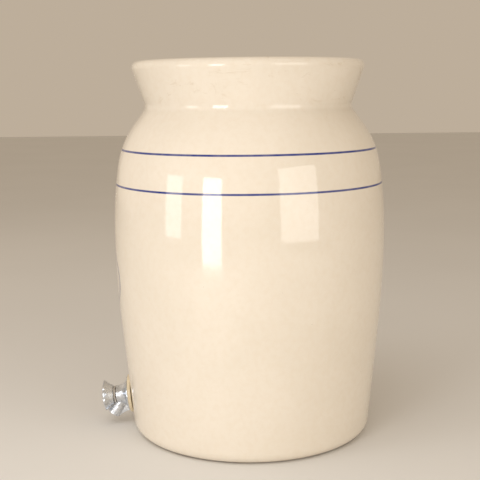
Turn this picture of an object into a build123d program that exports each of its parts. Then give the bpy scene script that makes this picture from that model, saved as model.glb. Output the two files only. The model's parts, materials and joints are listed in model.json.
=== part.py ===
from build123d import *
from math import cos, pi, radians, sin, tan
import os

# Stoneware dispenser crock: a thrown jar with a flared collar and a small cast-metal tap.
# Millimetres, +Z up, origin at the middle of the jar's base. The tap points along -Y.

# Jar
jar_height = 348.5
base_radius = 112.7        # where the straight flank would meet the base plane
taper = 5.52               # degrees that the lower flank leans outwards
heel_radius = 11.0
wall_thickness = 9.4
floor_thickness = 10.5
inside_corner = 8.0
belly_start_height = 103.0
belly_radius = 925.0       # long arc up to the widest point
upper_belly_radius = 400.0
upper_belly_turn = 8.6
shoulder_radius = 90.0
shoulder_lean = 37.0       # degrees from vertical, inwards
collar_lean = 19.5         # degrees from vertical, outwards
neck_radius = 95.9
neck_bend = 6.0
neck_band = 1.0
throat_radius = 86.5
throat_bend = 8.0
throat_band = 8.5
lip_outer_radius = 6.0
lip_inner_radius = 3.6

# Tap hole, low on the jar's front
tap_height = 30.7          # where the tap's axis meets the outer wall
tap_hole_radius = 9.0
outer_seat_radius = 18.9
outer_seat_depth = 0.5
inner_seat_radius = 16.5
inner_seat_depth = 0.1
tap_cut_reach = 28.0       # how far the cutting cylinders run along the tap's axis
seat_cut_reach = 5.0
cut_margin = 1.0           # how far a cut runs past the metal it opens

# Washers and nut on the shank
outer_washer_radius = 18.4
outer_washer_thickness = 2.9
outer_washer_edge = 0.35
inner_washer_radius = 15.5
inner_washer_thickness = 3.0
inner_washer_edge = 0.4
backing_washer_radius = 14.0
backing_washer_thickness = 1.2
backing_washer_edge = 0.25
locknut_across_flats = 24.0
locknut_thickness = 5.4
locknut_corner_bevel = 1.6
shank_gap = 0.15           # radial room between the shank and what is threaded on it

# Tap body: distances along the tap's axis, counted outwards from the flange's back face
shank_radius = 8.0
shank_end = -23.0
shank_tip_chamfer = 1.0
thread_start = -22.0
thread_pitch = 1.5
thread_depth = 0.6
thread_groove_width = 1.2
thread_cut_overlap = 0.1
thread_count = 10
flange_radius = 17.0
flange_thickness = 1.2
flange_edge = 0.4
flare_inset = 1.0
barrel_radius = 8.7
barrel_start = 11.0
barrel_front = 12.8
water_bore_radius = 4.25
chamber_radius = 6.5
chamber_floor = 2.0
seat_face = 2.5
seat_lip_radius = 5.2

# Spout
spout_origin = 4.2
spout_lean = 36.0
spout_outer_radius = 6.2
spout_length = 28.0
mouth_angle = 37.0
mouth_depth = 18.8         # below the axis, at the middle of the mouth
spout_bore_radius = 2.2
spout_bore_lean = 43.0     # the bore leans more than the spout, to pass under the bonnet
spout_bore_length = 19.5   # from the middle of the mouth back to the valve chamber
mouth_flare_depth = 8.0
mouth_flare_rise = 4.0
mouth_flare_radius = 5.4
web_thickness = 5.0
web_toe = (12.0, -21.3)
web_radius = 30.0
web_root_radius = 7.7      # where the web starts inside the barrel
web_root_front = 8.0
hex_relief_radius = 8.9
knob_relief = 0.6          # room left round the knob's sweep

# Valve
seat_washer_radius = 5.5
seat_washer_thickness = 2.0
seat_washer_edge = 0.2
seat_gap = 0.02
jumper_radius = 5.7
jumper_thickness = 1.5
jumper_pin_radius = 2.0
jumper_pin_length = 6.0
screw_head_radius = 2.4
screw_head_thickness = 1.0
screw_shank_radius = 1.2
screw_shank_length = 6.0
screw_gap = 0.075
screw_slot_width = 0.25    # of the head's radius
screw_slot_depth = 0.5     # of the head's thickness

# Bonnet and spindle
bonnet_back = 10.2
bonnet_gap = 0.06
bonnet_across_flats = 14.6
bonnet_hex_back = 13.5
bonnet_hex_front = 15.2
bonnet_neck_radius = 6.6
bonnet_front = 20.2
stem_stop = 19.1
gasket_thickness = bonnet_hex_back - barrel_front
gasket_radius = 7.2
gasket_edge = 0.15
running_gap = 0.07
spindle_back = 6.1
spindle_radius = 4.0
spindle_chamfer = 0.4
spindle_thread_end = 12.0
spindle_barrel_radius = 3.9
spindle_shoulder = 16.0
stem_radius = 3.0
stem_end = 20.55
square_side = 4.2
square_end = 23.4
pin_socket_depth = 6.6
ring_section_radius = 0.68
ring_radius = 3.36
ring_centre = 14.05
ring_groove_half_width = 0.85
ring_groove_depth = 1.25

# Knob
knob_back = 15.6
knob_back_radius = 9.2
knob_rim_radius = 14.7
knob_flare_middle = (11.5, 20.0)
knob_rim_back = 23.4
knob_rim_front = 24.2
knob_face = 26.9
knob_recess_radius = 7.4
knob_recess_floor = 20.6
knob_web_front = 23.6
cap_pocket_radius = 6.0
scallop_count = 10
scallop_radius = 3.4
scallop_centre = 17.1
knob_screw_head_radius = 2.8
knob_screw_head_thickness = 1.3
knob_screw_radius = 1.25
knob_screw_length = 5.0
fit_gap = 0.05             # room round the cap, the square and the screw
cap_wall = 0.9
cap_back = 25.0
cap_edge = 26.4
cap_rise = 1.0

taper_angle = radians(taper)
tap_direction = (0, -cos(taper_angle), -sin(taper_angle))
wall_at_tap = base_radius + tap_height * tan(taper_angle)
flange_offset = outer_washer_thickness - outer_seat_depth
tap_origin = Vector(0, -wall_at_tap, tap_height) + Vector(*tap_direction) * flange_offset
tap_plane = Plane(origin=tap_origin, x_dir=(1, 0, 0), z_dir=tap_direction)
section_normal = (0, sin(taper_angle), -cos(taper_angle))
tap_section = Plane(origin=tap_origin, x_dir=(1, 0, 0), z_dir=section_normal)
tap_axis = Axis(tap_origin, tap_direction)

# The spout leans outwards in the tap's upright middle plane, and its mouth is cut oblique.
outwards = tap_plane.z_dir
upwards = tap_plane.y_dir
spout_start = tap_origin + outwards * spout_origin
spout_angle = radians(spout_lean)
spout_direction = outwards * sin(spout_angle) - upwards * cos(spout_angle)
spout_plane = Plane(origin=spout_start, x_dir=(1, 0, 0), z_dir=spout_direction)
mouth_centre = spout_start + spout_direction * (mouth_depth / cos(spout_angle))
mouth_tilt = radians(mouth_angle)
bore_angle = radians(spout_bore_lean)
bore_direction = outwards * sin(bore_angle) - upwards * cos(bore_angle)
bore_plane = Plane(origin=mouth_centre, x_dir=(1, 0, 0), z_dir=bore_direction)
mouth_normal = outwards * sin(mouth_tilt) - upwards * cos(mouth_tilt)
mouth_plane = Plane(origin=mouth_centre, x_dir=(1, 0, 0), z_dir=mouth_normal)
web_plane = Plane(origin=tap_origin, x_dir=outwards, z_dir=outwards.cross(upwards))

jumper_back = seat_face + seat_gap + seat_washer_thickness

outer_seat = -outer_washer_thickness
inner_seat = outer_seat + outer_seat_depth - wall_thickness + inner_seat_depth
backing_face = inner_seat - inner_washer_thickness
locknut_face = backing_face - backing_washer_thickness

os.makedirs("parts", exist_ok=True)


def save(part, name):
    part.label = name
    export_step(part, f"parts/{name}.step")


def corner_start(level, corner, flank):
    # Radius at which a rounded corner leaves a floor at this level to meet the leaning flank.
    meeting_height = level + corner * (1 - sin(taper_angle))
    return flank + meeting_height * tan(taper_angle) - corner * cos(taper_angle)


def jar_side(start, corner, depth, waist_radius, waist_bend, waist_band):
    # The jar's side from the floor corner to the foot of the collar, at a depth inside
    # the outer surface. Every bend is an arc tangent to its neighbours.
    foot = JernArc(start, (1, 0), corner, 90 - taper)
    flank_rise = belly_start_height + depth * sin(taper_angle) - (foot @ 1).Y
    flank = PolarLine(foot @ 1, flank_rise / cos(taper_angle), 90 - taper)
    belly = JernArc(flank @ 1, flank % 1, belly_radius - depth, taper)
    upper = JernArc(belly @ 1, (0, 1), upper_belly_radius - depth, upper_belly_turn)
    bend = shoulder_lean - upper_belly_turn
    shoulder = JernArc(upper @ 1, upper % 1, shoulder_radius - depth, bend)
    lean = radians(shoulder_lean)
    waist_start = waist_radius + waist_bend * (1 - cos(lean))
    slope_length = ((shoulder @ 1).X - waist_start) / sin(lean)
    slope = PolarLine(shoulder @ 1, slope_length, 90 + shoulder_lean)
    waist_in = JernArc(slope @ 1, slope % 1, waist_bend, -shoulder_lean)
    band = PolarLine(waist_in @ 1, waist_band, 90)
    return JernArc(band @ 1, (0, 1), waist_bend, -collar_lean)


# Crock
with BuildPart() as crock:
    with BuildSketch(Plane.XZ):
        with BuildLine():
            collar_angle = radians(collar_lean)
            outer_foot = corner_start(0, heel_radius, base_radius)
            inner_flank = base_radius - wall_thickness / cos(taper_angle)
            inner_foot = corner_start(floor_thickness, inside_corner, inner_flank)
            Line((0, floor_thickness), (0, 0))
            Line((0, 0), (outer_foot, 0))
            outside = jar_side((outer_foot, 0), heel_radius, 0,
                               neck_radius, neck_bend, neck_band)
            lip_start = jar_height - lip_outer_radius * (1 + sin(collar_angle))
            outer_rise = lip_start - (outside @ 1).Y
            outer_collar = PolarLine(outside @ 1, outer_rise / cos(collar_angle), 90 - collar_lean)
            outer_lip = JernArc(outer_collar @ 1, outer_collar % 1, lip_outer_radius,
                                90 + collar_lean)
            Line((0, floor_thickness), (inner_foot, floor_thickness))
            inside = jar_side((inner_foot, floor_thickness), inside_corner, wall_thickness,
                              throat_radius, throat_bend, throat_band)
            lip_end = jar_height - lip_inner_radius * (1 - sin(collar_angle))
            inner_rise = lip_end - (inside @ 1).Y
            inner_collar = PolarLine(inside @ 1, inner_rise / cos(collar_angle), 90 - collar_lean)
            crest = ((inner_collar @ 1).X + lip_inner_radius * cos(collar_angle), jar_height)
            Line(outer_lip @ 1, crest)
            JernArc(crest, (-1, 0), lip_inner_radius, 90 - collar_lean)
        make_face()
    revolve(axis=Axis.Z)
    with BuildSketch(tap_plane):
        Circle(tap_hole_radius)
    extrude(amount=tap_cut_reach, both=True, mode=Mode.SUBTRACT)
    with BuildSketch(tap_plane.offset(outer_seat)):
        Circle(outer_seat_radius)
    extrude(amount=seat_cut_reach, mode=Mode.SUBTRACT)
    with BuildSketch(tap_plane.offset(inner_seat)):
        Circle(inner_seat_radius)
    extrude(amount=-seat_cut_reach, mode=Mode.SUBTRACT)
save(crock.part, "crock")


def ring(name, back, thickness, outer, inner, edge):
    # A flat washer lying on the tap's axis, with softly rounded rims.
    with BuildPart() as washer:
        with BuildSketch(tap_plane.offset(back)):
            Circle(outer)
            Circle(inner, mode=Mode.SUBTRACT)
        extrude(amount=thickness)
        fillet(washer.edges().filter_by(GeomType.CIRCLE), edge)
    save(washer.part, name)


shank_hole = shank_radius + shank_gap
ring("outer_washer", outer_seat, outer_washer_thickness, outer_washer_radius,
     shank_hole, outer_washer_edge)
ring("inner_washer", backing_face, inner_washer_thickness, inner_washer_radius,
     shank_hole, inner_washer_edge)
ring("backing_washer", locknut_face, backing_washer_thickness, backing_washer_radius,
     shank_hole, backing_washer_edge)
ring("bonnet_gasket", barrel_front, gasket_thickness, gasket_radius,
     chamber_radius + bonnet_gap, gasket_edge)


def hex_nut(name, back, thickness, across_flats, hole, bevel):
    # A hexagon nut on the tap's axis, its corners turned off to a cone on both faces.
    corner = across_flats / 2 / cos(pi / 6)
    with BuildPart() as nut:
        with BuildSketch(tap_plane.offset(back)):
            RegularPolygon(across_flats / 2, 6, major_radius=False)
            Circle(hole, mode=Mode.SUBTRACT)
        extrude(amount=thickness)
        with BuildSketch(tap_section):
            with BuildLine():
                front = back + thickness
                Polyline((0, back), (corner - bevel, back), (corner, back + bevel * tan(pi / 6)),
                         (corner, front - bevel * tan(pi / 6)), (corner - bevel, front),
                         (0, front), close=True)
            make_face()
        revolve(axis=tap_axis, mode=Mode.INTERSECT)
    save(nut.part, name)


hex_nut("locknut", locknut_face - locknut_thickness, locknut_thickness,
        locknut_across_flats, shank_hole, locknut_corner_bevel)


# Tap body: flange, barrel, spout and shank in one casting
with BuildPart() as tap_body:
    with BuildSketch(tap_section):
        with BuildLine():
            flange_front = flange_thickness + flange_edge
            flare_foot = (flange_radius - flare_inset, flange_front)
            flare_top = (barrel_radius, barrel_start)
            Polyline((0, shank_end), (shank_radius - shank_tip_chamfer, shank_end),
                     (shank_radius, shank_end + shank_tip_chamfer),
                     (shank_radius, 0), (flange_radius - flange_edge, 0),
                     (flange_radius, flange_edge), (flange_radius, flange_thickness),
                     (flange_radius - flange_edge, flange_front), flare_foot)
            TangentArc(flare_top, flare_foot, tangent=(0, -1))
            Polyline(flare_top, (barrel_radius, barrel_front), (0, barrel_front), (0, shank_end))
        make_face()
    revolve(axis=tap_axis)
    with BuildSketch(spout_plane):
        Circle(spout_outer_radius)
    extrude(amount=spout_length)
    with BuildSketch(web_plane):
        with BuildLine():
            web_heel = (flange_thickness / 2, -flange_radius + flange_edge)
            web_root = (flange_thickness / 2, -web_root_radius)
            Line(web_root, web_heel)
            RadiusArc(web_heel, web_toe, web_radius)
            Polyline(web_toe, (web_root_front, -web_root_radius), web_root)
        make_face()
    extrude(amount=web_thickness / 2, both=True)
    split(bisect_by=mouth_plane, keep=Keep.BOTTOM)
    with BuildSketch(tap_section):
        with BuildLine():
            relief_back = knob_back - knob_relief
            relief_radius = knob_back_radius + knob_relief
            relief_middle = (knob_flare_middle[0] + knob_relief, knob_flare_middle[1])
            relief_rim = (knob_rim_radius + knob_relief, knob_rim_back)
            relief_front = knob_face + cut_margin
            Polyline((0, barrel_front), (hex_relief_radius, barrel_front),
                     (hex_relief_radius, relief_back), (relief_radius, relief_back),
                     relief_middle, relief_rim, (relief_rim[0], relief_front),
                     (0, relief_front), close=True)
        make_face()
    revolve(axis=tap_axis, mode=Mode.SUBTRACT)
    with BuildSketch(tap_section):
        with BuildLine():
            bore_end = shank_end - cut_margin
            chamber_end = barrel_front + cut_margin
            Polyline((0, bore_end), (water_bore_radius, bore_end),
                     (water_bore_radius, seat_face), (seat_lip_radius, seat_face),
                     (seat_lip_radius, chamber_floor), (chamber_radius, chamber_floor),
                     (chamber_radius, chamber_end), (0, chamber_end), close=True)
        make_face()
    revolve(axis=tap_axis, mode=Mode.SUBTRACT)
    with BuildSketch(bore_plane):
        Circle(spout_bore_radius)
    extrude(amount=-spout_bore_length, mode=Mode.SUBTRACT)
    with BuildSketch(bore_plane.offset(-mouth_flare_depth)):
        Circle(spout_bore_radius)
    with BuildSketch(bore_plane.offset(mouth_flare_rise)):
        Circle(mouth_flare_radius)
    loft(mode=Mode.SUBTRACT)
    with BuildSketch(tap_section):
        for turn in range(thread_count):
            groove = thread_start + turn * thread_pitch
            crest = shank_radius + thread_cut_overlap
            with BuildLine():
                Polyline((crest, groove),
                         (shank_radius - thread_depth, groove + thread_groove_width / 2),
                         (crest, groove + thread_groove_width), close=True)
            make_face()
    revolve(axis=tap_axis, mode=Mode.SUBTRACT)
save(tap_body.part, "tap_body")


# Bonnet: screws into the barrel, seals with the gasket under its hexagon, guides the spindle
with BuildPart() as bonnet:
    with BuildSketch(tap_plane.offset(bonnet_back)):
        Circle(chamber_radius - bonnet_gap)
    extrude(amount=bonnet_hex_back - bonnet_back)
    with BuildSketch(tap_plane.offset(bonnet_hex_back)):
        RegularPolygon(bonnet_across_flats / 2, 6, major_radius=False)
    extrude(amount=bonnet_hex_front - bonnet_hex_back)
    with BuildSketch(tap_plane.offset(bonnet_hex_front)):
        Circle(bonnet_neck_radius)
    extrude(amount=bonnet_front - bonnet_hex_front)
    with BuildSketch(tap_plane.offset(bonnet_back)):
        Circle(spindle_radius + running_gap)
    extrude(amount=stem_stop - bonnet_back, mode=Mode.SUBTRACT)
    with BuildSketch(tap_plane.offset(stem_stop)):
        Circle(stem_radius + running_gap)
    extrude(amount=bonnet_front - stem_stop, mode=Mode.SUBTRACT)
save(bonnet.part, "bonnet")


# Jumper: the valve plate, whose pin sits loosely in the spindle
with BuildPart() as jumper:
    with BuildSketch(tap_plane.offset(jumper_back)):
        Circle(jumper_radius)
    extrude(amount=jumper_thickness)
    with BuildSketch(tap_plane.offset(jumper_back + jumper_thickness)):
        Circle(jumper_pin_radius)
    extrude(amount=jumper_pin_length)
    with BuildSketch(tap_plane.offset(jumper_back)):
        Circle(screw_shank_radius + screw_gap)
    extrude(amount=screw_shank_length, mode=Mode.SUBTRACT)
save(jumper.part, "jumper")

ring("seat_washer", seat_face + seat_gap, seat_washer_thickness, seat_washer_radius,
     screw_shank_radius + screw_gap, seat_washer_edge)


def slotted_screw(name, under_head, head_radius, head_thickness, shank, length, way):
    # A cheese-head screw on the tap's axis. The head grows in the direction of way.
    with BuildPart() as screw:
        with BuildSketch(tap_plane.offset(under_head)):
            Circle(head_radius)
        extrude(amount=way * head_thickness)
        with BuildSketch(tap_plane.offset(under_head)):
            Circle(shank)
        extrude(amount=-way * length)
        with BuildSketch(tap_plane.offset(under_head + way * head_thickness)):
            Rectangle(2 * head_radius + cut_margin, head_radius * screw_slot_width)
        extrude(amount=-way * head_thickness * screw_slot_depth, mode=Mode.SUBTRACT)
    save(screw.part, name)


slotted_screw("seat_washer_screw", seat_face + seat_gap, screw_head_radius,
              screw_head_thickness, screw_shank_radius, screw_shank_length, -1)
slotted_screw("knob_screw", knob_web_front, knob_screw_head_radius,
              knob_screw_head_thickness, knob_screw_radius, knob_screw_length, 1)


# Spindle: threaded part, barrel with the O-ring's groove, stem and square end
with BuildPart() as spindle:
    with BuildSketch(tap_section):
        with BuildLine():
            groove_floor = spindle_barrel_radius - ring_groove_depth
            groove_back = ring_centre - ring_groove_half_width
            groove_front = ring_centre + ring_groove_half_width
            barrel_back = spindle_thread_end + spindle_radius - spindle_barrel_radius
            Polyline((0, spindle_back), (spindle_radius - spindle_chamfer, spindle_back),
                     (spindle_radius, spindle_back + spindle_chamfer),
                     (spindle_radius, spindle_thread_end), (spindle_barrel_radius, barrel_back),
                     (spindle_barrel_radius, groove_back), (groove_floor, groove_back),
                     (groove_floor, groove_front), (spindle_barrel_radius, groove_front),
                     (spindle_barrel_radius, spindle_shoulder), (stem_radius, spindle_shoulder),
                     (stem_radius, stem_end), (0, stem_end), close=True)
        make_face()
    revolve(axis=tap_axis)
    with BuildSketch(tap_plane.offset(stem_end)):
        Rectangle(square_side, square_side)
    extrude(amount=square_end - stem_end)
    with BuildSketch(tap_plane.offset(spindle_back)):
        Circle(jumper_pin_radius + running_gap)
    extrude(amount=pin_socket_depth, mode=Mode.SUBTRACT)
    with BuildSketch(tap_plane.offset(square_end)):
        Circle(knob_screw_radius + fit_gap)
    extrude(amount=-knob_screw_length, mode=Mode.SUBTRACT)
save(spindle.part, "spindle")


# O-ring in the spindle's groove
with BuildPart() as stem_o_ring:
    with BuildSketch(tap_section):
        with Locations((ring_radius, ring_centre)):
            Circle(ring_section_radius)
    revolve(axis=tap_axis)
save(stem_o_ring.part, "stem_o_ring")


# Knob: a flared, scalloped handwheel, hollow behind so that it clears the bonnet
with BuildPart() as knob:
    with BuildSketch(tap_section):
        with BuildLine():
            Polyline((0, knob_recess_floor), (knob_recess_radius, knob_recess_floor),
                     (knob_recess_radius, knob_back), (knob_back_radius, knob_back))
            ThreePointArc((knob_back_radius, knob_back), knob_flare_middle,
                          (knob_rim_radius, knob_rim_back))
            Line((knob_rim_radius, knob_rim_back), (knob_rim_radius, knob_rim_front))
            TangentArc((0, knob_face), (knob_rim_radius, knob_rim_front), tangent=(1, 0))
            Line((0, knob_face), (0, knob_recess_floor))
        make_face()
    revolve(axis=tap_axis)
    with BuildSketch(tap_plane.offset(knob_back)):
        with PolarLocations(scallop_centre, scallop_count):
            Circle(scallop_radius)
    extrude(amount=knob_face - knob_back, mode=Mode.SUBTRACT)
    with BuildSketch(tap_plane.offset(knob_web_front)):
        Circle(cap_pocket_radius)
    extrude(amount=knob_face - knob_web_front, mode=Mode.SUBTRACT)
    with BuildSketch(tap_plane.offset(knob_recess_floor)):
        Rectangle(square_side + fit_gap, square_side + fit_gap)
    extrude(amount=knob_web_front - knob_recess_floor, mode=Mode.SUBTRACT)
save(knob.part, "knob")


# Knob cap: a shallow domed cup pressed into the knob's face over the screw
with BuildPart() as knob_cap:
    with BuildSketch(tap_section):
        with BuildLine():
            skirt = cap_pocket_radius - fit_gap
            inner_skirt = skirt - cap_wall
            Line((inner_skirt, cap_back), (skirt, cap_back))
            Line((skirt, cap_back), (skirt, cap_edge))
            TangentArc((0, cap_edge + cap_rise), (skirt, cap_edge), tangent=(1, 0))
            Line((0, cap_edge + cap_rise), (0, cap_edge + cap_rise - cap_wall))
            TangentArc((0, cap_edge + cap_rise - cap_wall), (inner_skirt, cap_edge - cap_wall),
                       tangent=(1, 0))
            Line((inner_skirt, cap_edge - cap_wall), (inner_skirt, cap_back))
        make_face()
    revolve(axis=tap_axis)
save(knob_cap.part, "knob_cap")
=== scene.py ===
import bpy
import bmesh
import json
import math
from mathutils import Matrix, Vector, noise


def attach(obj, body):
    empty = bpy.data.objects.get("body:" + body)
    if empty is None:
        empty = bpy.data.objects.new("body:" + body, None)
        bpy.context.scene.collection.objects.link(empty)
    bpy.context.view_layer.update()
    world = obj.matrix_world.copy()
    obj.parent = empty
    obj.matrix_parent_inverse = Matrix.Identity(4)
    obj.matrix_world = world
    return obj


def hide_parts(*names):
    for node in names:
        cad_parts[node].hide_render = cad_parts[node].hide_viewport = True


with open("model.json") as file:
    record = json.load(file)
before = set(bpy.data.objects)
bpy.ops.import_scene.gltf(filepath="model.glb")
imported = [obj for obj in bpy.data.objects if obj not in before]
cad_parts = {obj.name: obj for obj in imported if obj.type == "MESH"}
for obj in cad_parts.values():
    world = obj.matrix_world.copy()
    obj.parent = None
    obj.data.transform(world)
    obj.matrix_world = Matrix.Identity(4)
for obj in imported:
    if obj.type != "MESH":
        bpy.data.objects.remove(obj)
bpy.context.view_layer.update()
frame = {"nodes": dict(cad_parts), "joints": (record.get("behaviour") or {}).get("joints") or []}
nodes = frame["nodes"]
mm = 0.001
wholeTurn = math.tau
weldGap = 1e-6

# The tap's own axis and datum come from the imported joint
knobJoint = next(j for j in frame["joints"] if j["name"] == "knob_turn")
tapOrigin = Vector(knobJoint["pos_m"])
tapOut = Vector(knobJoint["axis"]).normalized()
tapSide = Vector((1, 0, 0))
tapUp = tapOut.cross(tapSide).normalized()
tapMatrix = Matrix((tapSide, tapUp, tapOut)).transposed().to_4x4()
tapMatrix.translation = tapOrigin
print("frame loaded, tap datum at", [round(v, 4) for v in tapOrigin])


# Helpers for mesh work

def meshObject(bm, name, sharpAngle=35.0, place=None):
    bmesh.ops.remove_doubles(bm, verts=bm.verts, dist=weldGap)
    bmesh.ops.recalc_face_normals(bm, faces=bm.faces)
    if place is not None:
        bmesh.ops.transform(bm, matrix=place, verts=bm.verts)
    mesh = bpy.data.meshes.new(name)
    bm.to_mesh(mesh)
    bm.free()
    obj = bpy.data.objects.new(name, mesh)
    bpy.context.scene.collection.objects.link(obj)
    return shadeSoft(obj, sharpAngle)


def shadeSoft(obj, sharpAngle):
    for face in obj.data.polygons:
        face.use_smooth = True
    obj.data.set_sharp_from_angle(angle=math.radians(sharpAngle))
    return obj


def settle(obj):
    # the modifiers' result becomes the object's own mesh
    graph = bpy.context.evaluated_depsgraph_get()
    graph.update()
    mesh = bpy.data.meshes.new_from_object(obj.evaluated_get(graph))
    obj.modifiers.clear()
    obj.data = mesh
    mesh.name = obj.name
    return obj


def spinOutline(outline, steps):
    # an outline of (radius, height) pairs in millimetres, spun round the Z axis
    bm = bmesh.new()
    verts = [bm.verts.new((x * mm, 0, z * mm)) for x, z in outline]
    for a, b in zip(verts, verts[1:]):
        bm.edges.new((a, b))
    bmesh.ops.spin(bm, geom=bm.verts[:] + bm.edges[:], cent=(0, 0, 0), axis=(0, 0, 1),
                   angle=wholeTurn, steps=steps, use_merge=True)
    return bm


class Pen:
    # walks an outline: straight runs and tangent arcs, heading in degrees from +X
    def __init__(self, x, z, heading):
        self.x, self.z, self.heading = x, z, heading
        self.points = [(x, z)]

    def step(self, length):
        self.x += length * math.cos(math.radians(self.heading))
        self.z += length * math.sin(math.radians(self.heading))
        self.points.append((self.x, self.z))

    def line(self, length, cuts=1):
        for _ in range(cuts):
            self.step(length / cuts)
        return self

    def arc(self, radius, turn, cuts):
        part = turn / cuts
        chord = 2 * radius * math.sin(math.radians(abs(part) / 2))
        for _ in range(cuts):
            self.heading += part / 2
            self.step(chord)
            self.heading += part / 2
        return self


# The jar

jar = {
    "height": 348.5, "baseRadius": 112.7, "taper": 5.52, "heel": 11.0, "wall": 9.4,
    "floor": 10.5, "insideCorner": 8.0, "bellyStart": 103.0, "belly": 925.0,
    "upper": 400.0, "upperTurn": 8.6, "shoulder": 90.0, "shoulderLean": 37.0,
    "collarLean": 19.5, "neckRadius": 95.9, "neckBend": 6.0, "neckBand": 1.0,
    "throatRadius": 86.5, "throatBend": 8.0, "throatBand": 8.5,
    "lipOuter": 6.0, "lipInner": 3.6, "segments": 288,
    "washer": 2.9, "seatDepth": 0.5, "seatRadius": 18.9, "innerSeatRadius": 16.5,
    "innerSeatDepth": 0.1, "holeRadius": 9.0, "wander": 0.22, "wanderSize": 70.0,
    "ringHeight": 0.012, "ringPitch": 9.0, "ringSway": 2, "ringScale": 0.7,
    "trueBelow": 2, "footFade": 12, "lipFade": 4,
    "cutterBack": -30, "cutterFront": 10, "innerSeatReach": 6, "cutterSegments": 96,
    "floorRings": 12,
}


def jarFlank(startX, startZ, corner, depth, waist, bend, band):
    # from the floor's corner up to the foot of the collar, at a depth inside the outer skin
    slope, lean = math.radians(jar["taper"]), math.radians(jar["shoulderLean"])
    pen = Pen(startX, startZ, 0).arc(corner, 90 - jar["taper"], cuts=8)
    rise = jar["bellyStart"] + depth * math.sin(slope) - pen.z
    pen.line(rise / math.cos(slope), cuts=24)
    pen.arc(jar["belly"] - depth, jar["taper"], cuts=22)
    pen.arc(jar["upper"] - depth, jar["upperTurn"], cuts=15)
    pen.arc(jar["shoulder"] - depth, jar["shoulderLean"] - jar["upperTurn"], cuts=14)
    pen.line((pen.x - waist - bend * (1 - math.cos(lean))) / math.sin(lean), cuts=5)
    pen.arc(bend, -jar["shoulderLean"], cuts=7)
    pen.line(band, cuts=2)
    return pen.arc(bend, -jar["collarLean"], cuts=5)


def cornerStart(level, corner, flank):
    # where the flat of a floor ends, for a corner arc that runs on into the flank
    slope = math.radians(jar["taper"])
    meeting = level + corner * (1 - math.sin(slope))
    return flank + meeting * math.tan(slope) - corner * math.cos(slope)


def jarOutline():
    slope, collar = math.radians(jar["taper"]), math.radians(jar["collarLean"])
    footX = cornerStart(0, jar["heel"], jar["baseRadius"])
    outer = jarFlank(footX, 0, jar["heel"], 0, jar["neckRadius"], jar["neckBend"], jar["neckBand"])
    lipStart = jar["height"] - jar["lipOuter"] * (1 + math.sin(collar))
    outer.line((lipStart - outer.z) / math.cos(collar), cuts=9)
    outer.arc(jar["lipOuter"], 90 + jar["collarLean"], cuts=14)
    innerFlank = jar["baseRadius"] - jar["wall"] / math.cos(slope)
    floorX = cornerStart(jar["floor"], jar["insideCorner"], innerFlank)
    inner = jarFlank(floorX, jar["floor"], jar["insideCorner"], jar["wall"],
                     jar["throatRadius"], jar["throatBend"], jar["throatBand"])
    lipEnd = jar["height"] - jar["lipInner"] * (1 - math.sin(collar))
    inner.line((lipEnd - inner.z) / math.cos(collar), cuts=9)
    inner.arc(jar["lipInner"], jar["collarLean"] - 90, cuts=7)
    rings = jar["floorRings"]
    under = [(footX * k / rings, 0) for k in range(rings)]
    floor = [(floorX * k / rings, jar["floor"]) for k in reversed(range(rings))]
    return under + outer.points + inner.points[::-1] + floor


def wanderSkin(mesh):
    # a thrown wall is never quite true: it only ever goes inwards, so the jar keeps its size
    size = jar["wanderSize"] * mm
    start, top = jar["trueBelow"] * mm, jar["height"] * mm
    for vert in mesh.vertices:
        place = vert.co
        reach = math.hypot(place.x, place.y)
        if reach < 1e-4 or place.z < start:  # on the axis, or on the foot
            continue
        swell = 0.5 + 0.5 * noise.noise(place / size)
        sway = jar["ringSway"] * noise.noise(place / size * jar["ringScale"])
        ring = 0.5 + 0.5 * math.sin(place.z / (jar["ringPitch"] * mm) * wholeTurn + sway)
        depth = (jar["wander"] * swell + jar["ringHeight"] * ring) * mm
        footFade = min(1, (place.z - start) / (jar["footFade"] * mm))
        lipFade = min(1, (top - place.z) / (jar["lipFade"] * mm))
        outward = Vector((place.x, place.y, 0)) / reach
        vert.co = place - outward * depth * max(0, footFade * lipFade)


def tapCutter(name, radius, low, high):
    bm = bmesh.new()
    bmesh.ops.create_cone(bm, cap_ends=True, segments=jar["cutterSegments"], radius1=radius * mm,
                          radius2=radius * mm, depth=(high - low) * mm)
    bmesh.ops.translate(bm, verts=bm.verts, vec=(0, 0, (high + low) / 2 * mm))
    return meshObject(bm, name, place=tapMatrix)


def makeJar():
    bm = spinOutline(jarOutline(), jar["segments"])
    body = meshObject(bm, "crockJar", sharpAngle=50)
    wanderSkin(body.data)
    outerSeat = -jar["washer"]
    innerSeat = outerSeat + jar["seatDepth"] - jar["wall"] + jar["innerSeatDepth"]
    cuts = [("hole", jar["holeRadius"], jar["cutterBack"], jar["cutterFront"]),
            ("outerSeat", jar["seatRadius"], outerSeat, jar["cutterFront"]),
            ("innerSeat", jar["innerSeatRadius"], innerSeat - jar["innerSeatReach"], innerSeat)]
    for name, radius, low, high in cuts:
        cutter = tapCutter(name + "Cutter", radius, low, high)
        cut = body.modifiers.new(name, "BOOLEAN")
        cut.operation, cut.solver, cut.object = "DIFFERENCE", "EXACT", cutter
        settle(body)
        bpy.data.objects.remove(cutter)
    return shadeSoft(body, sharpAngle=40)


crockJar = makeJar()
print("jar made,", len(crockJar.data.polygons), "faces")


# Washers, spun on the tap's axis

washers = {
    "outerWasher": {"node": "outer_washer", "radius": 18.4, "hole": 8.15, "back": -2.9,
                    "thick": 2.9, "edge": 0.6},
    "innerWasher": {"node": "inner_washer", "radius": 15.5, "hole": 8.15, "back": -14.7,
                    "thick": 3.0, "edge": 0.6},
}


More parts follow.
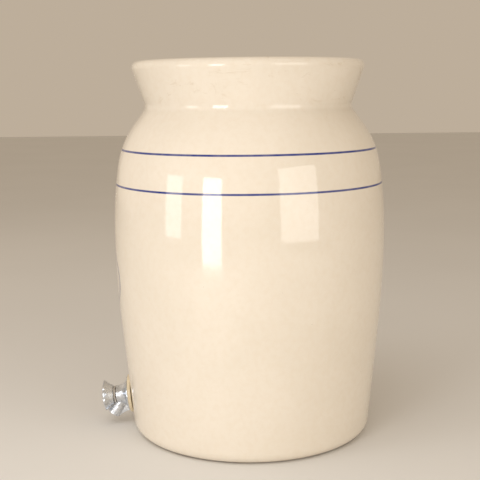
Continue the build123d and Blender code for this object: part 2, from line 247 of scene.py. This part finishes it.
def makeWasher(name, size):
    edge, top = size["edge"], size["back"] + size["thick"]
    pen = Pen(size["hole"], size["back"], 0)
    pen.line(size["radius"] - size["hole"] - edge, cuts=4).arc(edge, 90, cuts=5)
    pen.line(size["thick"] - 2 * edge, cuts=2).arc(edge, 90, cuts=5)
    pen.line(size["radius"] - size["hole"] - edge, cuts=4)
    outline = pen.points + [(size["hole"], top - size["thick"] / 2), (size["hole"], size["back"])]
    bm = spinOutline(outline, steps=96)
    return meshObject(bm, name, sharpAngle=40, place=tapMatrix)


washerPieces = {name: makeWasher(name, size) for name, size in washers.items()}
print("washers made")


# Cast pieces: the CAD shape, its edges melted as in a sand casting, its skin uneven

castings = {
    # lengths in millimetres, the node's mesh melted at that scale and then brought back to metres
    "tapCasting": {"node": "tap_body", "body": "crock_and_tap", "voxel": 0.28, "soften": 5,
                   "wobble": 0.30, "grain": 2.2},
    "knobCasting": {"node": "knob", "body": "handwheel", "voxel": 0.24, "soften": 5,
                    "wobble": 0.16, "grain": 2.0},
    "capCasting": {"node": "knob_cap", "body": "handwheel", "voxel": 0.14, "soften": 3,
                   "wobble": 0.03, "grain": 1.6},
}
sandSkin = {"creaseSize": 2.3, "creaseShift": (7, 3, 5), "swellShare": 0.6, "creaseShare": 0.4}


def makeCasting(name, cast):
    bm = bmesh.new()
    bm.from_mesh(nodes[cast["node"]].data)
    bmesh.ops.scale(bm, vec=(1 / mm, 1 / mm, 1 / mm), verts=bm.verts)
    piece = meshObject(bm, name)
    melt = piece.modifiers.new("melt", "REMESH")
    melt.mode, melt.voxel_size = "VOXEL", cast["voxel"]
    soften = piece.modifiers.new("soften", "SMOOTH")
    soften.factor, soften.iterations = 0.5, cast["soften"]
    settle(piece)
    normals = [vert.normal.copy() for vert in piece.data.vertices]
    creaseSize, shift = sandSkin["creaseSize"] * cast["grain"], Vector(sandSkin["creaseShift"])
    for vert, normal in zip(piece.data.vertices, normals):
        swell = 0.5 + 0.5 * noise.noise(vert.co / cast["grain"])
        crease = 1 - abs(noise.noise(vert.co / creaseSize + shift))
        depth = sandSkin["swellShare"] * swell + sandSkin["creaseShare"] * crease
        vert.co -= normal * depth * cast["wobble"]
    piece.data.transform(Matrix.Scale(mm, 4))
    return shadeSoft(piece, sharpAngle=180)


castPieces = {name: makeCasting(name, cast) for name, cast in castings.items()}
print("castings made,", sum(len(p.data.polygons) for p in castPieces.values()), "faces")


# Finishes

class Finish:
    # a node material read from the piece's own coordinates
    def __init__(self, name):
        self.material = bpy.data.materials.new(name)
        self.material.use_nodes = True
        self.tree = self.material.node_tree
        self.shader = self.tree.nodes["Principled BSDF"]
        self.place = self.tree.nodes.new("ShaderNodeTexCoord").outputs["Object"]

    def wire(self, value, socket):
        if isinstance(value, bpy.types.NodeSocket):
            self.tree.links.new(value, socket)
        else:
            socket.default_value = value

    def add(self, kind, values=(), out=0, **settings):
        node = self.tree.nodes.new("ShaderNode" + kind)
        for key, value in settings.items():
            setattr(node, key, value)
        for key, value in dict(values).items():
            self.wire(value, node.inputs[key])
        return node.outputs[out]

    def math(self, operation, a, b=0.0, c=0.0):
        return self.add("Math", {0: a, 1: b, 2: c}, operation=operation)

    def times(self, first, *others):
        for other in others:
            first = self.math("MULTIPLY", first, other)
        return first

    def gap(self, a, b):
        return self.math("ABSOLUTE", self.math("SUBTRACT", a, b))

    def ellipse(self, across, halfWide, up, halfTall):
        # 1 on the ellipse's edge and less inside it
        return self.math("ADD", self.math("POWER", self.math("DIVIDE", across, halfWide), 2.0),
                         self.math("POWER", self.math("DIVIDE", up, halfTall), 2.0))

    def cloud(self, scale, detail=3.0, rough=0.5, twist=0.0, where=None):
        return self.add("TexNoise", {"Vector": where or self.place, "Scale": scale,
                                     "Detail": detail, "Roughness": rough, "Distortion": twist})

    def ramp(self, value, low, high, start=0.0, end=1.0):
        return self.add("MapRange", {"Value": value, "From Min": low, "From Max": high,
                                     "To Min": start, "To Max": end},
                        interpolation_type="SMOOTHSTEP")

    def veil(self, look, where=None, ends=()):
        # a cloud stretched from its range to its two ends
        return self.ramp(self.cloud(*look["cloud"], where=where), *look["range"], *ends)

    def drift(self, look):
        # a slow wander to either side of nought, in millimetres
        return self.times(self.math("SUBTRACT", self.cloud(*look["cloud"]), 0.5), look["swing"])

    def mix(self, share, a, b):
        node = self.tree.nodes.new("ShaderNodeMix")
        node.data_type = "RGBA"
        self.wire(share, node.inputs[0])
        self.wire(a, node.inputs[6])
        self.wire(b, node.inputs[7])
        return node.outputs[2]

    def axes(self):
        node = self.tree.nodes.new("ShaderNodeSeparateXYZ")
        self.tree.links.new(self.place, node.inputs[0])
        return node.outputs[0], node.outputs[1], node.outputs[2]

    def bump(self, height, depth, under=None):
        values = {"Height": height, "Distance": depth * mm, "Strength": 1.0}
        if under is not None:
            values["Normal"] = under
        return self.add("Bump", values)

    def relief(self, look, under=None):
        return self.bump(self.cloud(*look["cloud"]), look["depth"], under)

    def set(self, **values):
        for key, value in values.items():
            self.wire(value, self.shader.inputs[key.replace("_", " ")])
        return self.material


# A cloud is given by its scale, detail, roughness and twist; depths and heights are in millimetres
glaze = {
    "cream": (0.745, 0.675, 0.572, 1), "creamLight": (0.785, 0.715, 0.615, 1),
    "creamDeep": (0.695, 0.585, 0.445, 1), "speck": (0.150, 0.075, 0.030, 1),
    "cobalt": (0.010, 0.030, 0.210, 1), "badge": (0.035, 0.065, 0.200, 1),
    "smudge": (0.520, 0.400, 0.260, 1),
    "clay": (0.500, 0.370, 0.220, 1), "clayDark": (0.36, 0.25, 0.14, 1),
    "blotches": {"cloud": (9.0, 4, 0.55, 0.4), "range": (0.3, 0.7)},
    "mottle": {"cloud": (190.0, 5, 0.6), "range": (0.35, 0.75, 0.0, 0.22)},
    "smudges": {"cloud": (1.0, 8, 0.72, 1.8), "range": (0.56, 0.70, 0.0, 0.38)},
    "smudgeStretch": (30.0, 30.0, 75.0), "smudgeRise": (296.0, 325.0),
    "outsideReach": (116.0, 117.0),
    "bands": (268.5, 237.0), "bandWidth": 1.75, "bandEdge": 0.22,
    "bandDrift": {"cloud": (7.0, 2), "swing": 0.5},
    "bandPaint": {"cloud": (60.0, 4, 0.6), "range": (0.25, 0.75, 0.82, 1.0)},
    "badgeHeight": 149.5, "badgeWide": 40.0, "badgeTall": 27.5, "badgeRadius": 125.5,
    "badgeRims": ((1.0, 0.95, 0.25), (0.9, 0.40, 0.2)),
    "badgePaint": {"cloud": (250.0, 3), "range": (0.3, 0.6, 0.6, 0.95)},
    "speckScale": 95.0, "speckShuffle": 7.0, "speckKeep": (0.55, 0.6),
    "speckSize": (0.010, 0.034), "speckStrength": 0.6,
    "dryFoot": 1.1, "dryEdge": 0.25, "dryDrift": {"cloud": (45.0, 3), "swing": 1.6},
    "clayTone": (400.0, 5, 0.7), "clayRough": 0.7,
    "gloss": {"cloud": (14.0, 3), "range": (0.3, 0.7, 0.055, 0.10)},
    "scuffs": {"cloud": (30.0, 8, 0.75, 1.5), "range": (0.62, 0.80, 0.0, 0.16)},
    "peel": {"cloud": (85.0, 2, 0.45), "depth": 0.05},
    "fine": {"cloud": (900.0, 3, 0.6), "depth": 0.004},
    "grit": {"cloud": (1500.0, 4, 0.7), "depth": 0.08}, "ior": 1.5,
}

sprig = {
    # millimetres from the badge's middle, the leaves' lean in degrees
    "sway": 1.6, "swayRate": 0.12, "stemHalf": 0.35, "stemEdge": 0.25, "stemReach": 22.0,
    "pairs": 5, "firstLeaf": -16, "leafStep": 8, "leafShift": 1.5, "leafRise": 5.0,
    "leafLean": 52, "leafLong": 4.6, "leafWide": 1.7, "leafEdge": (0.75, 1.15),
}


def lineMask(f, distance, halfWidth, edge=0.3):
    # 1 on a painted line, 0 off it; the distance is in millimetres
    return f.ramp(distance, halfWidth - edge, halfWidth + edge, 1.0, 0.0)


def sprigMask(f, across, up):
    # a stem with paired leaves
    sway = f.times(f.math("SINE", f.times(across, sprig["swayRate"])), sprig["sway"])
    mask = lineMask(f, f.gap(up, sway), sprig["stemHalf"], sprig["stemEdge"])
    mask = f.times(mask, lineMask(f, f.math("ABSOLUTE", across), sprig["stemReach"]))
    for k in range(sprig["pairs"]):
        for side in (-1, 1):
            middle = sprig["firstLeaf"] + sprig["leafStep"] * k + sprig["leafShift"] * side
            angle = side * math.radians(sprig["leafLean"])
            dx = f.math("SUBTRACT", across, middle)
            dy = f.math("SUBTRACT", up, side * sprig["leafRise"])
            along = f.math("ADD", f.times(dx, math.cos(angle)), f.times(dy, math.sin(angle)))
            over = f.math("SUBTRACT", f.times(dy, math.cos(angle)), f.times(dx, math.sin(angle)))
            leaf = f.ellipse(along, sprig["leafLong"], over, sprig["leafWide"])
            mask = f.math("MAXIMUM", mask, f.ramp(leaf, *sprig["leafEdge"], 1.0, 0.0))
    return mask


def creamColour(f, high):
    # cream that pools and thins a little, with faint smudges where hands take the collar
    colour = f.mix(f.veil(glaze["blotches"]), glaze["cream"], glaze["creamLight"])
    colour = f.mix(f.veil(glaze["mottle"]), colour, glaze["creamDeep"])
    drawnOut = f.add("VectorMath", {0: f.place, 1: glaze["smudgeStretch"]}, operation="MULTIPLY")
    smudge = f.times(f.veil(glaze["smudges"], drawnOut), f.ramp(high, *glaze["smudgeRise"]))
    return f.mix(smudge, colour, glaze["smudge"])


def bandMask(f, high, outside):
    # brushed on a turning wheel
    level = f.math("ADD", high, f.drift(glaze["bandDrift"]))
    mask = 0.0
    for middle in glaze["bands"]:
        line = lineMask(f, f.gap(level, middle), glaze["bandWidth"] / 2, glaze["bandEdge"])
        mask = f.math("MAXIMUM", mask, line)
    return f.times(mask, outside, f.veil(glaze["bandPaint"]))


def badgeMask(f, x, y, high, outside):
    # two ovals round a sprig, on the tap's side; each rim is its size, half width and soft edge
    turn = f.math("ARCTAN2", x, f.times(y, -1.0))
    across = f.times(turn, glaze["badgeRadius"])
    up = f.math("SUBTRACT", high, glaze["badgeHeight"])
    oval = f.math("SQRT", f.ellipse(across, glaze["badgeWide"], up, glaze["badgeTall"]))
    mask = sprigMask(f, across, up)
    for size, halfWidth, edge in glaze["badgeRims"]:
        rim = f.times(f.gap(oval, size), glaze["badgeTall"])
        mask = f.math("MAXIMUM", mask, lineMask(f, rim, halfWidth, edge))
    return f.times(mask, outside, f.veil(glaze["badgePaint"]))


def speckMask(f):
    # iron specks under the glaze, in fewer than half of the cells
    spot = f.tree.nodes.new("ShaderNodeTexVoronoi")
    f.tree.links.new(f.place, spot.inputs["Vector"])
    spot.inputs["Scale"].default_value = glaze["speckScale"]
    chance = f.math("FRACT", f.times(spot.outputs["Color"], glaze["speckShuffle"]))
    near = f.ramp(spot.outputs["Distance"], *glaze["speckSize"], 1.0, 0.0)
    return f.times(near, f.ramp(chance, *glaze["speckKeep"]), glaze["speckStrength"])


def glazeFinish():
    f = Finish("creamGlaze")
    x, y, z = f.axes()
    high = f.times(z, 1 / mm)
    reach = f.times(f.math("SQRT", f.math("ADD", f.times(x, x), f.times(y, y))), 1 / mm)
    outside = f.ramp(reach, *glaze["outsideReach"])
    colour = creamColour(f, high)
    colour = f.mix(bandMask(f, high, outside), colour, glaze["cobalt"])
    colour = f.mix(badgeMask(f, x, y, high, outside), colour, glaze["badge"])
    colour = f.mix(speckMask(f), colour, glaze["speck"])
    # the foot is dry clay, with an uneven edge to the glaze
    edge = f.math("ADD", high, f.drift(glaze["dryDrift"]))
    dry = lineMask(f, edge, glaze["dryFoot"], glaze["dryEdge"])
    clay = f.mix(f.cloud(*glaze["clayTone"]), glaze["clay"], glaze["clayDark"])
    colour = f.mix(dry, colour, clay)
    rough = f.math("ADD", f.veil(glaze["gloss"]), f.veil(glaze["scuffs"]))
    rough = f.math("ADD", rough, f.times(dry, glaze["clayRough"]))
    fine = f.relief(glaze["fine"], f.relief(glaze["peel"]))
    grit = f.times(f.cloud(*glaze["grit"]["cloud"]), dry)
    skin = f.bump(grit, glaze["grit"]["depth"], fine)
    return f.set(Base_Color=colour, Roughness=rough, IOR=glaze["ior"], Normal=skin)


castLook = {
    "dark": (0.66, 0.70, 0.76, 1), "light": (0.84, 0.88, 0.94, 1), "dirt": (0.26, 0.26, 0.26, 1),
    "tone": {"cloud": (420.0, 5, 0.6), "range": (0.3, 0.7)},
    "grime": {"cloud": (180.0, 4, 0.65, 0.6), "range": (0.58, 0.74, 0.0, 0.45)},
    "rough": {"cloud": (600.0, 4), "range": (0.3, 0.7, 0.25, 0.40)}, "grimeRough": 0.25,
    "dents": {"cloud": (330.0, 2, 0.5, 0.6), "depth": 0.22},
    "pits": {"cloud": (1700.0, 3, 0.6), "depth": 0.010},
}


def castFinish():
    f = Finish("castWhiteMetal")
    grime = f.veil(castLook["grime"])
    colour = f.mix(f.veil(castLook["tone"]), castLook["dark"], castLook["light"])
    colour = f.mix(grime, colour, castLook["dirt"])
    rough = f.math("ADD", f.veil(castLook["rough"]), f.times(grime, castLook["grimeRough"]))
    skin = f.relief(castLook["pits"], f.relief(castLook["dents"]))
    return f.set(Base_Color=colour, Metallic=1.0, Roughness=rough, Normal=skin)


rubberLook = {
    "tone": {"cloud": (260.0, 5, 0.6), "range": (0.3, 0.7)},
    "gloss": {"cloud": (700.0, 3), "range": (0.3, 0.7)}, "swing": 0.08,
    "waves": {"cloud": (350.0, 2), "depth": 0.06},
    "grain": {"cloud": (2200.0, 4, 0.6), "depth": 0.02},
}
rubbers = {
    "creamRubber": {"dark": (0.66, 0.56, 0.39, 1), "light": (0.78, 0.68, 0.50, 1), "rough": 0.5},
    "blackRubber": {"dark": (0.012, 0.012, 0.012, 1), "light": (0.03, 0.03, 0.03, 1),
                    "rough": 0.55},
}


def rubberFinish(name, tint):
    f = Finish(name)
    rough, swing = tint["rough"], rubberLook["swing"]
    colour = f.mix(f.veil(rubberLook["tone"]), tint["dark"], tint["light"])
    gloss = f.veil(rubberLook["gloss"], ends=(rough - swing, rough + swing))
    skin = f.relief(rubberLook["grain"], f.relief(rubberLook["waves"]))
    return f.set(Base_Color=colour, Roughness=gloss, Normal=skin)


turnedLook = {
    "tone": {"cloud": (300.0, 5, 0.6), "range": (0.3, 0.7)},
    "gloss": {"cloud": (500.0, 4), "range": (0.3, 0.7)}, "smoother": 0.07, "rougher": 0.1,
    "groovePitch": 0.35, "grooveDepth": 0.006,
    "scratches": {"cloud": (900.0, 3), "depth": 0.02},
}
turned = {
    "turnedBrass": {"dark": (0.50, 0.33, 0.12, 1), "light": (0.76, 0.57, 0.27, 1), "rough": 0.26},
    "platedBrass": {"dark": (0.56, 0.55, 0.53, 1), "light": (0.80, 0.79, 0.77, 1), "rough": 0.24},
    "plainSteel": {"dark": (0.38, 0.37, 0.36, 1), "light": (0.60, 0.59, 0.57, 1), "rough": 0.30},
}


def turnedFinish(name, tint):
    # lathe-turned metal: fine rings along the tap's axis
    f = Finish(name)
    along = f.add("VectorMath", {0: f.place, 1: tuple(tapOut)}, out=1, operation="DOT_PRODUCT")
    groove = f.math("SINE", f.times(along, wholeTurn / (turnedLook["groovePitch"] * mm)))
    colour = f.mix(f.veil(turnedLook["tone"]), tint["dark"], tint["light"])
    ends = (tint["rough"] - turnedLook["smoother"], tint["rough"] + turnedLook["rougher"])
    gloss = f.veil(turnedLook["gloss"], ends=ends)
    skin = f.relief(turnedLook["scratches"], f.bump(groove, turnedLook["grooveDepth"]))
    return f.set(Base_Color=colour, Metallic=1.0, Roughness=gloss, Normal=skin)


fibreLook = {
    "dark": (0.07, 0.055, 0.045, 1), "light": (0.16, 0.12, 0.09, 1), "tone": (900.0, 6, 0.7),
    "rough": {"cloud": (600.0,), "range": (0.3, 0.7, 0.7, 0.9)},
    "fuzz": {"cloud": (1800.0, 5, 0.7), "depth": 0.05},
}


def fibreFinish():
    f = Finish("greyFibre")
    colour = f.mix(f.cloud(*fibreLook["tone"]), fibreLook["dark"], fibreLook["light"])
    return f.set(Base_Color=colour, Roughness=f.veil(fibreLook["rough"]),
                 Normal=f.relief(fibreLook["fuzz"]))


finishes = {"creamGlaze": glazeFinish(), "castMetal": castFinish(), "greyFibre": fibreFinish()}
for name, tint in rubbers.items():
    finishes[name] = rubberFinish(name, tint)
for name, tint in turned.items():
    finishes[name] = turnedFinish(name, tint)
print("finishes made,", len(finishes))

nodeFinish = {
    "backing_washer": "plainSteel", "locknut": "turnedBrass", "bonnet": "platedBrass",
    "bonnet_gasket": "greyFibre", "jumper": "turnedBrass", "seat_washer": "blackRubber",
    "seat_washer_screw": "plainSteel", "spindle": "turnedBrass", "stem_o_ring": "blackRubber",
    "knob_screw": "plainSteel",
}


def dress(obj, material):
    obj.data.materials.clear()
    obj.data.materials.append(material)


def standFor(obj, node, body, finish):
    dress(obj, finishes[finish])
    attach(obj, body)
    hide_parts(node)


standFor(crockJar, "crock", "crock_and_tap", "creamGlaze")
for name, piece in washerPieces.items():
    standFor(piece, washers[name]["node"], "crock_and_tap", "creamRubber")
for name, piece in castPieces.items():
    standFor(piece, castings[name]["node"], castings[name]["body"], "castMetal")
for name, finish in nodeFinish.items():
    if not nodes[name].material_slots:
        nodes[name].data.materials.append(finishes[finish])
    for holder in nodes[name].material_slots:
        holder.material = finishes[finish]
print("pieces dressed and riding")


# Floor, light and camera

paper = {"reach": 6.0, "dark": (0.74, 0.73, 0.71, 1), "light": (0.78, 0.77, 0.75, 1),
         "tone": (3.0, 2), "rough": 0.75}


def makeFloor():
    bm = bmesh.new()
    bmesh.ops.create_grid(bm, x_segments=1, y_segments=1, size=paper["reach"])
    floor = meshObject(bm, "paleFloor")
    f = Finish("palePaper")
    colour = f.mix(f.cloud(*paper["tone"]), paper["dark"], paper["light"])
    dress(floor, f.set(Base_Color=colour, Roughness=paper["rough"]))


lights = {
    # azimuth in degrees from +X towards +Y, the rest in metres and watts
    "windowNear": {"azimuth": -29, "height": 0.20, "distance": 0.95, "size": (0.25, 0.44),
                   "power": 2.8, "colour": (1.0, 1.0, 1.0)},
    "windowFar": {"azimuth": -61, "height": 0.25, "distance": 0.95, "size": (0.24, 0.30),
                  "power": 0.8, "colour": (1.0, 1.0, 1.0)},
    "roomSide": {"azimuth": 39, "height": 0.33, "distance": 1.1, "size": (0.62, 0.55),
                 "power": 3.2, "colour": (1.0, 0.97, 0.92)},
    "skylight": {"azimuth": -35, "height": 1.6, "distance": 0.9, "size": (1.4, 1.4),
                 "power": 8.6, "colour": (1.0, 1.0, 1.0), "mirrored": False},
    "farSide": {"azimuth": -125, "height": 0.6, "distance": 1.3, "size": (1.0, 1.0),
                "power": 0.8, "colour": (1.0, 0.86, 0.70)},
}
room = {"colour": (1.0, 0.83, 0.64), "strength": 0.51, "lampAim": (0, 0, 0.2)}


def makeLight(name, lamp):
    data = bpy.data.lights.new(name, "AREA")
    data.shape = "RECTANGLE"
    data.size, data.size_y = lamp["size"]
    data.energy = lamp["power"]
    data.color = lamp["colour"]
    turn = math.radians(lamp["azimuth"])
    obj = bpy.data.objects.new(name, data)
    away = lamp["distance"]
    obj.location = (away * math.cos(turn), away * math.sin(turn), lamp["height"])
    aim = Vector(room["lampAim"]) - obj.location
    obj.rotation_euler = aim.to_track_quat("-Z", "Y").to_euler()
    obj.visible_camera = False
    obj.visible_glossy = lamp.get("mirrored", True)
    bpy.context.scene.collection.objects.link(obj)


def makeWorld():
    world = bpy.data.worlds.new("paleRoom")
    world.use_nodes = True
    backdrop = world.node_tree.nodes["Background"]
    backdrop.inputs["Color"].default_value = (*room["colour"], 1)
    backdrop.inputs["Strength"].default_value = room["strength"]
    bpy.context.scene.world = world


eye = {
    # metres and degrees, the lens and its sensor in millimetres
    "distance": 0.89385, "aside": -0.009, "height": 0.3219, "pitch": 9.0, "roll": -0.6,
    "lens": 71.25, "sensor": 36.0, "near": 0.01, "far": 60.0,
}


def makeCamera():
    data = bpy.data.cameras.new("eye")
    data.lens, data.sensor_width = eye["lens"], eye["sensor"]
    data.clip_start, data.clip_end = eye["near"], eye["far"]
    camera = bpy.data.objects.new("eye", data)
    camera.location = (eye["distance"], eye["aside"], eye["height"])
    level = Matrix.Rotation(math.radians(90), 4, "Z") @ Matrix.Rotation(
        math.radians(90 - eye["pitch"]), 4, "X")
    camera.rotation_euler = (level @ Matrix.Rotation(math.radians(eye["roll"]), 4, "Z")).to_euler()
    bpy.context.scene.collection.objects.link(camera)
    bpy.context.scene.camera = camera


makeFloor()
for name, lamp in lights.items():
    makeLight(name, lamp)
makeWorld()
makeCamera()
bpy.context.scene.view_settings.view_transform = "Standard"
print("stage set")
